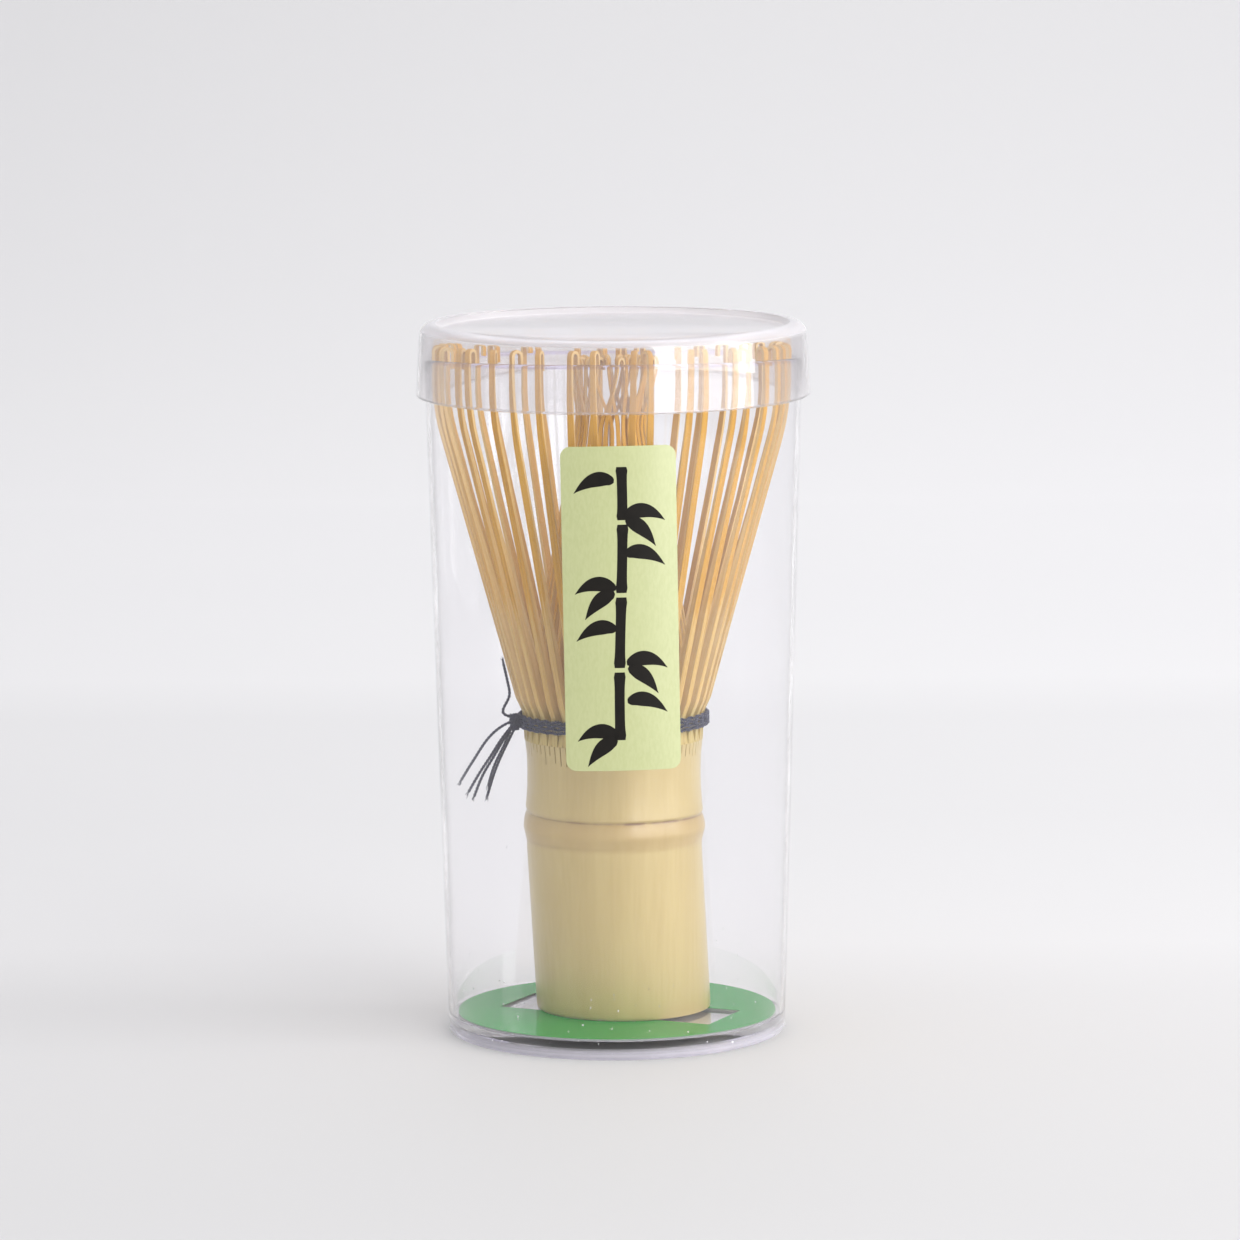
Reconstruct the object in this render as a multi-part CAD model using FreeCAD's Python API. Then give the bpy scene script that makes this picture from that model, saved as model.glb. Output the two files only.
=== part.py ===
"""Bamboo tea whisk in its clear push-lid case, in millimetres.

The case stands on z = 0 with its axis on x = y = 0, and +Z is up. The whisk stands on a card on the
floor of the case. Angles round the object start at the front (-Y) and grow towards the right (+X).
"""
import FreeCAD, Part
import math
import os

V = FreeCAD.Vector
UP = V(0, 0, 1)

# Clear cup: the wall opens upwards by CASE_DRAFT per millimetre of height
FOOT_RADIUS = 27.65
CASE_DRAFT = 0.027
CASE_HEIGHT = 110.2
CASE_WALL = 0.8
FOOT_CORNER = 1.0
FOOT_RING_INNER = 24.9
FOOT_RECESS = 1.4
FLOOR_TOP = 2.9
FLOOR_FILLET = 0.7

# Clear lid: a skirt round the cup's mouth, a raised ring and a sunk panel, pushed on a little askew
LID_BOTTOM = 104.1
LID_RADIUS = 32.0
LID_SHOULDER_RADIUS = 31.4
LID_CORNER = 2.2
LID_TOP = 115.9
LID_WALL = 0.8
PANEL_RADIUS = 27.9
PANEL_TOP = 114.9
PANEL_BOTTOM = 114.1
LID_TILT = 3.0

# Card under the whisk
CARD_RADIUS = 26.1
CARD_THICKNESS = 0.4
WINDOW_LENGTH = 37.6
WINDOW_WIDTH = 12.7
WINDOW_CENTRE = (0.43, -1.07)
WINDOW_TURN = -25.45

# Paper label on the outside of the cup
LABEL_WIDTH = 18.0
LABEL_BOTTOM = 46.6
LABEL_TOP = 97.6
LABEL_CORNER = 1.6
LABEL_THICKNESS = 0.12
LABEL_ANGLE = 2.0
LABEL_TILT = 0.8

# Bamboo handle: the internode under the node leans, the one above it stands straight
WHISK_X = -0.3
HANDLE_BOTTOM = FLOOR_TOP + CARD_THICKNESS
HANDLE_TOP = 48.0
FOOT_SHIFT = V(1.4, 2.0, 0)
COLLAR_HEIGHT = 30.0
RIDGE_HEIGHT = 33.5
LOWER_RADIUS = 14.35
RIDGE_RADIUS = 14.9
CREASE_HEIGHT = 35.9
CREASE_RADIUS = 14.3
WAIST_HEIGHT = 43.0
WAIST_RADIUS = 14.2
ROOT_RADIUS = 14.55
LOWER_BORE = 11.4
UPPER_BORE = 12.0
DIAPHRAGM_BOTTOM = 31.5
DIAPHRAGM_TOP = 34.5

# Strips split from the culm: every second one bends out and the others bend in
PAIRS = 40
PITCH_DEG = 360.0 / PAIRS
FIRST_ANGLE = -175.5
ROOT_Z = HANDLE_TOP + 0.04
OUTER_WIDTH = (0.94, 0.9)
INNER_WIDTH = (0.7, 0.56)
OUTER_TIP = 0.55
INNER_TIP = 0.4
TINE_RADIUS = 28.9
TINE_TOP = 112.3
HOOK_RADIUS = 1.05
INNER_TOP = 110.4
INNER_TINE_RADIUS = 5.8
TAPER_HEIGHT = 60.0

# Binding thread: turns of one thread stacked in a band
THREAD_RADIUS = 0.25
BAND_MIDDLE = 51.25
BAND_RADIUS = 15.2
BAND_TURNS = 4
BAND_PITCH = 0.56
KNOT_CENTRE = V(-16.35, -3.75, 51.2)
KNOT_RADIUS = 1.0
KNOT_HALF_HEIGHT = 1.5
FINE_RADIUS = 0.2


def point(r, z):
    return V(r, 0, z)


def line(a, b):
    return Part.LineSegment(a, b).toShape()


def arc(a, middle, b):
    return Part.Arc(a, middle, b).toShape()


def corner_arc(centre, radius, start_deg, end_deg):
    """An arc in the r-z plane, with its angles measured from the r axis towards z."""
    at = [centre + V(math.cos(math.radians(t)), 0, math.sin(math.radians(t))) * radius
          for t in (start_deg, (start_deg + end_deg) / 2, end_deg)]
    return arc(*at)


def chain(pieces):
    """A closed face from arcs and points in order, with straight edges across the gaps."""
    edges = []
    ends = []
    for piece in pieces:
        if isinstance(piece, FreeCAD.Vector):
            ends.append((piece, piece))
        else:
            ends.append((piece.valueAt(piece.FirstParameter), piece.valueAt(piece.LastParameter)))
    for i, piece in enumerate(pieces):
        if not isinstance(piece, FreeCAD.Vector):
            edges.append(piece)
        following = ends[(i + 1) % len(ends)][0]
        if ends[i][1].distanceToPoint(following) > 1e-6:
            edges.append(line(ends[i][1], following))
    return Part.Face(Part.Wire(edges))


def turned(face):
    return face.revolve(V(0, 0, 0), UP, 360)


def rounded_path(points, radii):
    """Straight runs through the points, joined by tangent arcs of the given radii at the inner points."""
    edges = []
    start = points[0]
    for i in range(1, len(points) - 1):
        back = (points[i - 1] - points[i]).normalize()
        ahead = (points[i + 1] - points[i]).normalize()
        half = (math.pi - back.getAngle(ahead)) / 2
        radius = radii[i - 1]
        reach = radius * math.tan(half)
        into = points[i] + back * reach
        out = points[i] + ahead * reach
        bisector = (back + ahead).normalize()
        top = points[i] + bisector * (radius / math.cos(half) - radius)
        if start.distanceToPoint(into) > 1e-6:
            edges.append(line(start, into))
        edges.append(arc(into, top, out))
        start = out
    edges.append(line(start, points[-1]))
    return edges


def case_radius(z):
    return FOOT_RADIUS + CASE_DRAFT * z


def case_tube():
    foot = FOOT_CORNER
    half_wall = CASE_WALL / 2
    rim = CASE_HEIGHT - half_wall
    rim_outer = case_radius(rim)
    rim_inner = rim_outer - CASE_WALL
    fillet_z = FLOOR_TOP + FLOOR_FILLET
    wall_inner = case_radius(fillet_z) - CASE_WALL
    bend = math.sqrt(0.5)
    outside_foot = arc(point(FOOT_RADIUS - foot, 0),
                       point(FOOT_RADIUS - foot * (1 - bend), foot * (1 - bend)),
                       point(case_radius(foot), foot))
    rim_round = arc(point(rim_outer, rim), point(rim_outer - half_wall, CASE_HEIGHT), point(rim_inner, rim))
    floor_round = arc(point(wall_inner, fillet_z),
                      point(wall_inner - FLOOR_FILLET * (1 - bend), fillet_z - FLOOR_FILLET * bend),
                      point(wall_inner - FLOOR_FILLET, FLOOR_TOP))
    return turned(chain([outside_foot, rim_round, floor_round, point(0, FLOOR_TOP), point(0, FOOT_RECESS),
                         point(FOOT_RING_INNER, FOOT_RECESS), point(FOOT_RING_INNER, 0)]))


def case_lid():
    shoulder = LID_TOP - LID_CORNER
    ring_outer = LID_SHOULDER_RADIUS - LID_CORNER
    ring_inner = PANEL_RADIUS + 0.5
    inner_corner = LID_CORNER - LID_WALL
    outside = corner_arc(point(ring_outer, shoulder), LID_CORNER, 0, 90)
    inside = corner_arc(point(ring_outer, shoulder), inner_corner, 90, 0)
    lid = turned(chain([point(0, PANEL_TOP), point(0, PANEL_BOTTOM), point(PANEL_RADIUS - 0.6, PANEL_BOTTOM),
                        point(ring_inner - 0.3, LID_TOP - LID_WALL), inside,
                        point(LID_RADIUS - LID_WALL, LID_BOTTOM), point(LID_RADIUS, LID_BOTTOM),
                        outside,
                        point(ring_inner, LID_TOP), point(PANEL_RADIUS, PANEL_TOP)]))
    lid.rotate(V(0, 0, CASE_HEIGHT), V(1, 0, 0), LID_TILT)
    return lid


def base_card():
    disc = Part.makeCylinder(CARD_RADIUS, CARD_THICKNESS, V(0, 0, FLOOR_TOP))
    window = Part.makeBox(WINDOW_LENGTH, WINDOW_WIDTH, 4 * CARD_THICKNESS,
                          V(-WINDOW_LENGTH / 2, -WINDOW_WIDTH / 2, FLOOR_TOP - CARD_THICKNESS))
    window.rotate(V(0, 0, 0), UP, WINDOW_TURN)
    window.translate(V(WINDOW_CENTRE[0], WINDOW_CENTRE[1], 0))
    return disc.cut(window)


def front_label():
    """A patch of the cup's own cone, as thick as the paper, cut to a rectangle with round corners."""
    low = LABEL_BOTTOM - 5
    high = LABEL_TOP + 5
    skin = turned(chain([point(case_radius(low), low), point(case_radius(low) + LABEL_THICKNESS, low),
                         point(case_radius(high) + LABEL_THICKNESS, high), point(case_radius(high), high)]))
    block = Part.makeBox(LABEL_WIDTH, 2 * FOOT_RADIUS, LABEL_TOP - LABEL_BOTTOM,
                         V(-LABEL_WIDTH / 2, -2 * FOOT_RADIUS, LABEL_BOTTOM))
    across = [e for e in block.Edges if abs(e.tangentAt(e.FirstParameter).y) > 0.9]
    block = block.makeFillet(LABEL_CORNER, across)
    block.rotate(V(0, 0, (LABEL_BOTTOM + LABEL_TOP) / 2), V(0, 1, 0), -LABEL_TILT)
    block.rotate(V(0, 0, 0), UP, LABEL_ANGLE)
    return skin.common(block)


def slanted_round(radius, low, high):
    """A round bar between two heights that keeps its axis on the lower internode's slanting axis."""
    rings = []
    for z in (low, high):
        centre = FOOT_SHIFT * ((COLLAR_HEIGHT - z) / (COLLAR_HEIGHT - HANDLE_BOTTOM)) + V(0, 0, z)
        rings.append(Part.Wire(Part.makeCircle(radius, centre, UP)))
    return Part.makeLoft(rings, True, True)


def whisk_handle():
    lower = slanted_round(LOWER_RADIUS, HANDLE_BOTTOM, COLLAR_HEIGHT)
    ridge = arc(point(LOWER_RADIUS, COLLAR_HEIGHT), point(RIDGE_RADIUS, RIDGE_HEIGHT),
                point(ROOT_RADIUS, CREASE_HEIGHT - 0.5))
    waist = arc(point(ROOT_RADIUS, CREASE_HEIGHT + 0.5), point(WAIST_RADIUS, WAIST_HEIGHT),
                point(ROOT_RADIUS, HANDLE_TOP))
    upper = turned(chain([point(0, COLLAR_HEIGHT), ridge, point(CREASE_RADIUS, CREASE_HEIGHT), waist,
                          point(0, HANDLE_TOP)]))
    bore = slanted_round(LOWER_BORE, HANDLE_BOTTOM - 2, DIAPHRAGM_BOTTOM)
    hollow = Part.makeCylinder(UPPER_BORE, HANDLE_TOP, V(0, 0, DIAPHRAGM_TOP))
    handle = lower.fuse(upper).cut(bore).cut(hollow)
    handle.translate(V(WHISK_X, 0, 0))
    return handle


def tapered(face, widths):
    """The outline made as wide as the strip, narrowing from the root up to a steady width."""
    root, tip = widths
    wide = face.extrude(V(0, root, 0))
    wide.translate(V(0, -root / 2, 0))
    taper_top = ROOT_Z + TAPER_HEIGHT
    corners = [V(-5, -root / 2, ROOT_Z - 1), V(-5, root / 2, ROOT_Z - 1), V(-5, root / 2, ROOT_Z),
               V(-5, tip / 2, taper_top), V(-5, tip / 2, TINE_TOP + 5), V(-5, -tip / 2, TINE_TOP + 5),
               V(-5, -tip / 2, taper_top), V(-5, -root / 2, ROOT_Z)]
    wedge = Part.Face(Part.makePolygon(corners + corners[:1])).extrude(V(50, 0, 0))
    return wide.common(wedge)


def outline(outer, outer_radii, inner, inner_radii):
    """A closed strip outline from its bark side, root to tip, and its inner side, tip to root."""
    edges = rounded_path(outer, outer_radii)
    edges.append(line(outer[-1], inner[0]))
    edges.extend(rounded_path(inner, inner_radii))
    edges.append(line(inner[-1], outer[0]))
    return Part.Face(Part.Wire(edges))


def outer_tine():
    """Straight and slanting outwards, then upright, with the tip curled over inwards."""
    tip = TINE_RADIUS - 2 * HOOK_RADIUS
    bark = [point(ROOT_RADIUS, ROOT_Z), point(14.8, 52.4), point(15.95, 54.9), point(TINE_RADIUS, 101.8),
            point(TINE_RADIUS, TINE_TOP), point(tip, TINE_TOP), point(tip, 109.4)]
    inside = TINE_RADIUS - OUTER_TIP
    below = TINE_TOP - OUTER_TIP
    pith = [point(tip + OUTER_TIP, 109.4), point(tip + OUTER_TIP, below), point(inside, below),
            point(inside, 102.4), point(15.1, 57.6), point(12.7, 50.6), point(12.2, ROOT_Z)]
    hollow = HOOK_RADIUS - OUTER_TIP - 0.01
    return tapered(outline(bark, [4, 3, 34, HOOK_RADIUS - 0.01, HOOK_RADIUS - 0.01],
                           pith, [hollow, hollow, 34, 15, 6]), OUTER_WIDTH)


def inner_tine():
    """Bent in above the thread and gathered close to the whisk's axis, with the tip curled over inwards."""
    tip = INNER_TINE_RADIUS - 1.9
    bark = [point(ROOT_RADIUS, ROOT_Z), point(14.2, 50.0), point(12.9, 54.0), point(12.35, 65.0),
            point(INNER_TINE_RADIUS, 99.5), point(INNER_TINE_RADIUS, INNER_TOP), point(tip, INNER_TOP),
            point(tip, 108.4)]
    inside = INNER_TINE_RADIUS - INNER_TIP
    below = INNER_TOP - INNER_TIP
    pith = [point(tip + INNER_TIP, 108.4), point(tip + INNER_TIP, below), point(inside, below),
            point(inside, 99.5), point(11.55, 65.0), point(11.9, 56.5), point(12.1, ROOT_Z)]
    return tapered(outline(bark, [4, 15, 30, 20, 0.94, 0.94], pith, [0.54, 0.54, 20, 30, 30]), INNER_WIDTH)


def root_angle(i):
    return FIRST_ANGLE + PITCH_DEG * i


def sideways(i):
    """How far round the outer tine's top stands from its root, in degrees: uneven, with pairs and gaps."""
    pairing = 2.1 * math.sin(2.81 * i + 2.41)
    drift = 2.19 * math.sin(0.38 * i + 5.32)
    return pairing + drift - 2.41 * math.sin(math.radians(root_angle(i)))


def planted(tine, angle, turn_at_top):
    """A copy of the tine, leaned sideways at its root and stood at its angle round the handle."""
    copy = tine.copy()
    shift = math.radians(turn_at_top) * TINE_RADIUS
    lean = math.degrees(math.atan(shift / (TINE_TOP - ROOT_Z)))
    copy.rotate(V(0, 0, ROOT_Z), V(1, 0, 0), -lean)
    copy.rotate(V(0, 0, 0), UP, angle - 90)
    copy.translate(V(WHISK_X, 0, 0))
    return copy


def outer_tines():
    tine = outer_tine()
    return [planted(tine, root_angle(i), sideways(i)) for i in range(PAIRS)]


def inner_tines():
    tine = inner_tine()
    return [planted(tine, root_angle(i) + PITCH_DEG / 2, 0) for i in range(PAIRS)]


def binding_thread():
    """The turns lie close enough to merge, so the band is one ring with a ribbed outside."""
    half = BAND_PITCH / 2
    bulge = []
    lowest = BAND_MIDDLE - BAND_PITCH * BAND_TURNS / 2
    for turn in range(BAND_TURNS):
        z = lowest + half + BAND_PITCH * turn
        bulge.append(arc(point(BAND_RADIUS, z - half), point(BAND_RADIUS + THREAD_RADIUS, z),
                         point(BAND_RADIUS, z + half)))
    highest = lowest + BAND_PITCH * BAND_TURNS
    inside = BAND_RADIUS - THREAD_RADIUS
    band = turned(chain(bulge + [point(inside, highest), point(inside, lowest)]))
    band.translate(V(WHISK_X, 0, 0))
    return band


def thread_knot():
    ellipse = Part.Ellipse(V(0, 0, KNOT_HALF_HEIGHT), V(KNOT_RADIUS, 0, 0), V(0, 0, 0))
    half = Part.ArcOfEllipse(ellipse, 0, math.pi).toShape()
    ends = [half.valueAt(half.FirstParameter), half.valueAt(half.LastParameter)]
    face = Part.Face(Part.Wire([half, line(ends[1], ends[0])]))
    knot = face.revolve(V(0, 0, 0), UP, 360)
    knot.translate(KNOT_CENTRE)
    return knot


def thread_end(route):
    """A thread along straight runs and tangent arcs, each arc as large as its two runs allow."""
    points = [V(*p) for p in route]
    radii = []
    for before, at, after in zip(points, points[1:], points[2:]):
        turn = math.pi - (before - at).getAngle(after - at)
        shorter = min(before.distanceToPoint(at), at.distanceToPoint(after))
        radii.append(0.45 * shorter / math.tan(turn / 2))
    path = Part.Wire(rounded_path(points, radii))
    along = (points[1] - points[0]).normalize()
    section = Part.Wire(Part.makeCircle(FINE_RADIUS, points[0], along))
    return path.makePipeShell([section], True, False)


# The thread's ends, from the knot outwards: one stands up and the others hang and spread
THREAD_ENDS = {
    "thread_end_up": [(-16.6, -4.1, 52.0), (-18.5, -4.6, 52.5), (-18.0, -4.6, 53.9), (-16.9, -4.5, 55.5),
                      (-17.3, -4.4, 57.3), (-17.7, -4.4, 59.2), (-18.1, -4.4, 61.0)],
    "thread_end_1": [(-16.6, -4.5, 51.4), (-18.6, -5.3, 50.7), (-20.8, -5.8, 48.7), (-22.3, -5.8, 46.3),
                     (-23.8, -5.6, 43.9), (-25.0, -5.5, 41.9)],
    "thread_end_2": [(-16.7, -4.3, 50.7), (-18.6, -5.0, 48.5), (-20.1, -5.1, 45.9), (-22.1, -5.0, 43.1),
                     (-23.9, -4.9, 39.8)],
    "thread_end_3": [(-16.85, -3.85, 50.4), (-18.4, -4.4, 48.0), (-19.9, -4.4, 45.3), (-21.7, -4.3, 42.6),
                     (-23.0, -4.2, 39.0)],
    "thread_end_4": [(-16.75, -3.4, 50.5), (-18.0, -3.7, 47.4), (-19.3, -3.8, 45.1), (-20.2, -3.7, 42.8),
                     (-20.7, -3.5, 40.7)],
    "thread_end_5": [(-16.3, -3.1, 50.2), (-17.7, -2.9, 47.4), (-19.0, -3.0, 44.7), (-20.0, -3.0, 42.1),
                     (-20.9, -2.9, 39.0)],
}


def save(name, shape):
    shape.exportStep("parts/" + name + ".step")


def main():
    os.makedirs("parts", exist_ok=True)
    save("case_tube", case_tube())
    save("case_lid", case_lid())
    save("base_card", base_card())
    save("front_label", front_label())
    save("whisk_handle", whisk_handle())
    for i, tine in enumerate(outer_tines()):
        save("outer_tine_%02d" % (i + 1), tine)
    inner = inner_tines()
    quarter = PAIRS // 4
    for i, side in enumerate(("back_left", "front_left", "front_right", "back_right")):
        save("inner_tines_" + side, Part.makeCompound(inner[i * quarter:(i + 1) * quarter]))
    save("binding_thread", binding_thread())
    save("thread_knot", thread_knot())
    for name, route in THREAD_ENDS.items():
        save(name, thread_end(route))


main()
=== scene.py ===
"""Looks for a bamboo tea whisk in its clear case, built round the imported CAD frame."""

import math
import random

import bmesh
import bpy
import numpy as np
from mathutils import Matrix, Vector


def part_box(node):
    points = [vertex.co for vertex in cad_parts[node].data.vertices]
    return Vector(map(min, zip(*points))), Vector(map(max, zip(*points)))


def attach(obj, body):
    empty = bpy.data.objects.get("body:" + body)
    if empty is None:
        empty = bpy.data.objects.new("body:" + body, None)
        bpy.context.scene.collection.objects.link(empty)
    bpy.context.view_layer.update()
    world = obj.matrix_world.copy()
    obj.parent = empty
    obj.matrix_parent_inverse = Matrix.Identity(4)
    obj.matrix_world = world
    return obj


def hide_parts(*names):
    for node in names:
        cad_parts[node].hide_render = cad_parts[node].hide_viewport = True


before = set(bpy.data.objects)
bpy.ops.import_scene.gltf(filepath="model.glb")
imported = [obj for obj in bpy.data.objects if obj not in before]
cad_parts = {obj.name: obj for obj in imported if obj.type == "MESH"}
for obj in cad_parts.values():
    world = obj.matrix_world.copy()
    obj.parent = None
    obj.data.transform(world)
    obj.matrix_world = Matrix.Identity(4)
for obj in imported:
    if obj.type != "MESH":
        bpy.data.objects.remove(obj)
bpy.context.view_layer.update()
scene = bpy.context.scene

MM = 0.001

# The case, in mm: what the frame's boxes give, and the profile's finer steps
TUBE_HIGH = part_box("case_tube")[1] / MM
CASE_HEIGHT = TUBE_HIGH.z
CASE_DRAFT = 0.027
FOOT_RADIUS = TUBE_HIGH.x - CASE_DRAFT * CASE_HEIGHT
WALL = 0.8
FOOT_CORNER = 1.0
FOOT_RING_INNER = 24.9
FOOT_RECESS = 1.4
FLOOR_FILLET = 0.7
LID_BOTTOM = 104.1
LID_TOP = 115.9
LID_RADIUS = 32.0
LID_SHOULDER_RADIUS = 31.4
LID_CORNER = 2.2
LID_TILT = math.radians(3.0)
PANEL_RADIUS = 27.9
PANEL_SINK = 1.0
PANEL_THICKNESS = 0.8

# The card on the case's floor
CARD_LOW, CARD_HIGH = (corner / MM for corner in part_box("base_card"))
FLOOR_TOP = CARD_LOW.z
CARD_RADIUS = CARD_HIGH.x
WINDOW_LENGTH = 37.6
WINDOW_WIDTH = 12.7
WINDOW_CENTRE = (0.43, -1.07)
WINDOW_TURN = math.radians(-25.45)

# The label on the front of the case
LABEL_LOW, LABEL_HIGH = (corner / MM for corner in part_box("front_label"))
LABEL_WIDTH = 18.0
LABEL_HEIGHT = 51.0
LABEL_MIDDLE = (LABEL_LOW.z + LABEL_HIGH.z) / 2
LABEL_CORNER = 1.6
LABEL_THICKNESS = 0.12
INK_LIFT = 0.02
LABEL_ANGLE = math.radians(2.0)
LABEL_TILT = math.radians(0.8)

# The whisk's handle
HANDLE_LOW, HANDLE_HIGH = (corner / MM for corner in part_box("whisk_handle"))
WHISK_X = -0.3
FOOT_SHIFT = (1.4, 2.0)
COLLAR_HEIGHT = 30.0
LOWER_RADIUS = 14.35
RIDGE_HEIGHT = 33.5
RIDGE_RADIUS = 14.9
CREASE_HEIGHT = 35.9
CREASE_RADIUS = 14.3
WAIST_HEIGHT = 43.0
WAIST_RADIUS = 14.2
ROOT_RADIUS = 14.55
LOWER_BORE = 11.4
UPPER_BORE = 12.0
DIAPHRAGM_BOTTOM = 31.5
DIAPHRAGM_TOP = 34.5
SLIT_STEPS = 12

# The strips
PAIRS = 40
PITCH_DEG = 360 / PAIRS
FIRST_ANGLE = -175.5
ROOT_Z = HANDLE_HIGH.z
TINE_RADIUS = 28.9
TINE_TOP = 112.3
HOOK_RADIUS = 1.05
INNER_TOP = 110.4
INNER_TINE_RADIUS = 5.8
BARK_LIMIT = 71.0
OUTER_CURL_FROM = 96
INNER_CURL_FROM = 98

# The thread
BAND_MIDDLE = 51.25
BAND_RADIUS = 15.2
BAND_TURNS = 4
BAND_PITCH = 0.56
KNOT_CENTRE = Vector((-16.35, -3.75, 51.2))
THREAD_ENDS = {
    "up": [(-16.6, -4.1, 52.0), (-18.5, -4.6, 52.5), (-18.0, -4.6, 53.9), (-16.9, -4.5, 55.5),
           (-17.3, -4.4, 57.3), (-17.7, -4.4, 59.2), (-18.1, -4.4, 61.0)],
    "1": [(-16.6, -4.5, 51.4), (-18.6, -5.3, 50.7), (-20.8, -5.8, 48.7), (-22.3, -5.8, 46.3),
          (-23.8, -5.6, 43.9), (-25.0, -5.5, 41.9)],
    "2": [(-16.7, -4.3, 50.7), (-18.6, -5.0, 48.5), (-20.1, -5.1, 45.9), (-22.1, -5.0, 43.1),
          (-23.9, -4.9, 39.8)],
    "3": [(-16.85, -3.85, 50.4), (-18.4, -4.4, 48.0), (-19.9, -4.4, 45.3), (-21.7, -4.3, 42.6),
          (-23.0, -4.2, 39.0)],
    "4": [(-16.75, -3.4, 50.5), (-18.0, -3.7, 47.4), (-19.3, -3.8, 45.1), (-20.2, -3.7, 42.8),
          (-20.7, -3.5, 40.7)],
    "5": [(-16.3, -3.1, 50.2), (-17.7, -2.9, 47.4), (-19.0, -3.0, 44.7), (-20.0, -3.0, 42.1),
          (-20.9, -2.9, 39.0)],
}


def case_radius(z):
    return FOOT_RADIUS + CASE_DRAFT * z


# ---------------------------------------------------------------- mesh helpers


def make_object(name, points, faces, materials, face_slots=None, crease_deg=35):
    """A smooth-shaded mesh with its points given in mm, sharp where its faces meet steeply."""
    mesh = bpy.data.meshes.new(name)
    mesh.from_pydata([tuple(c * MM for c in p) for p in points], [], faces)
    for material in materials:
        mesh.materials.append(material)
    if face_slots is not None:
        mesh.polygons.foreach_set("material_index", face_slots)
    shaper = bmesh.new()
    shaper.from_mesh(mesh)
    bmesh.ops.recalc_face_normals(shaper, faces=shaper.faces)
    shaper.to_mesh(mesh)
    shaper.free()
    mesh.shade_smooth()
    mesh.set_sharp_from_angle(angle=math.radians(crease_deg))
    made = bpy.data.objects.new(name, mesh)
    scene.collection.objects.link(made)
    return made


def add_values(made, name, values):
    """One number for each of the mesh's points, for its material to read."""
    made.data.attributes.new(name, "FLOAT", "POINT").data.foreach_set("value", values)


def place(made, body, slot, *nodes):
    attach(made, body)
    if nodes:
        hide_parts(*nodes)
    return made


def arc(centre, radius, start_deg, end_deg, steps=8):
    """Points on an arc of a profile, as (radius, height) pairs."""
    angles = np.radians(np.linspace(start_deg, end_deg, steps + 1))
    return [(centre[0] + radius * math.cos(a), centre[1] + radius * math.sin(a)) for a in angles]


def rounded(points, radii, step_deg=6):
    """A run of straight lines with each inner corner turned into an arc of the radius given for it."""
    path = [np.array(points[0], float)]
    for before, at, after, radius in zip(points, points[1:], points[2:], radii):
        at = np.array(at, float)
        back = np.array(before, float) - at
        ahead = np.array(after, float) - at
        back /= np.linalg.norm(back)
        ahead /= np.linalg.norm(ahead)
        inside = math.acos(np.clip(back @ ahead, -1, 1))
        centre = at + (back + ahead) / np.linalg.norm(back + ahead) * radius / math.sin(inside / 2)
        start = at + back * radius / math.tan(inside / 2) - centre
        turn = math.pi - inside
        side = np.sign(-back[0] * ahead[1] + back[1] * ahead[0])
        steps = max(4, round(math.degrees(turn) / step_deg))
        for k in range(steps + 1):
            a = side * turn * k / steps
            spin = np.array([[math.cos(a), -math.sin(a)], [math.sin(a), math.cos(a)]])
            path.append(centre + spin @ start)
    path.append(np.array(points[-1], float))
    return np.array(path)


def resampled(path, step):
    """The same path with points at even steps along it, and each point's length from the start."""
    runs = np.linalg.norm(np.diff(path, axis=0), axis=1)
    lengths = np.concatenate([[0], np.cumsum(runs)])
    count = max(2, int(lengths[-1] / step) + 1)
    at = np.linspace(0, lengths[-1], count)
    return np.stack([np.interp(at, lengths, path[:, k]) for k in range(path.shape[1])], 1), at


def lathe(profile, segments=256):
    """Points and faces of a profile of (radius, height) pairs turned round the upright axis.
    The profile starts and ends on the axis."""
    turns = [2 * math.pi * k / segments for k in range(segments)]
    points = [(0, 0, profile[0][1])]
    for r, z in profile[1:-1]:
        points.extend((r * math.cos(a), r * math.sin(a), z) for a in turns)
    points.append((0, 0, profile[-1][1]))
    faces = []
    last = len(points) - 1
    rings = len(profile) - 2
    for k in range(segments):
        after = (k + 1) % segments
        faces.append((0, 1 + after, 1 + k))
        for ring in range(rings - 1):
            low = 1 + ring * segments
            high = low + segments
            faces.append((low + k, low + after, high + after, high + k))
        top = 1 + (rings - 1) * segments
        faces.append((top + k, top + after, last))
    return points, faces


def tube_rings(rings):
    """Points and faces of a closed skin over rings of points that are all the same count."""
    count = len(rings[0])
    points = [tuple(p) for ring in rings for p in ring]
    faces = []
    for low in range(0, (len(rings) - 1) * count, count):
        for k in range(count):
            after = (k + 1) % count
            faces.append((low + k, low + after, low + count + after, low + count + k))
    faces.append(tuple(range(count - 1, -1, -1)))
    faces.append(tuple(range((len(rings) - 1) * count, len(rings) * count)))
    return points, faces


def joined(parts):
    """Several (points, faces) pairs as one."""
    points, faces = [], []
    for part_points, part_faces in parts:
        shift = len(points)
        points.extend(part_points)
        faces.extend(tuple(i + shift for i in face) for face in part_faces)
    return points, faces


# ---------------------------------------------------------------- material helpers


def colour(red, green, blue):
    """A screen colour of 0 to 255 as the linear colour that a shader takes."""
    linear = [c / 255 / 12.92 if c / 255 <= 0.04045 else ((c / 255 + 0.055) / 1.055) ** 2.4
              for c in (red, green, blue)]
    return (*linear, 1.0)


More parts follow.
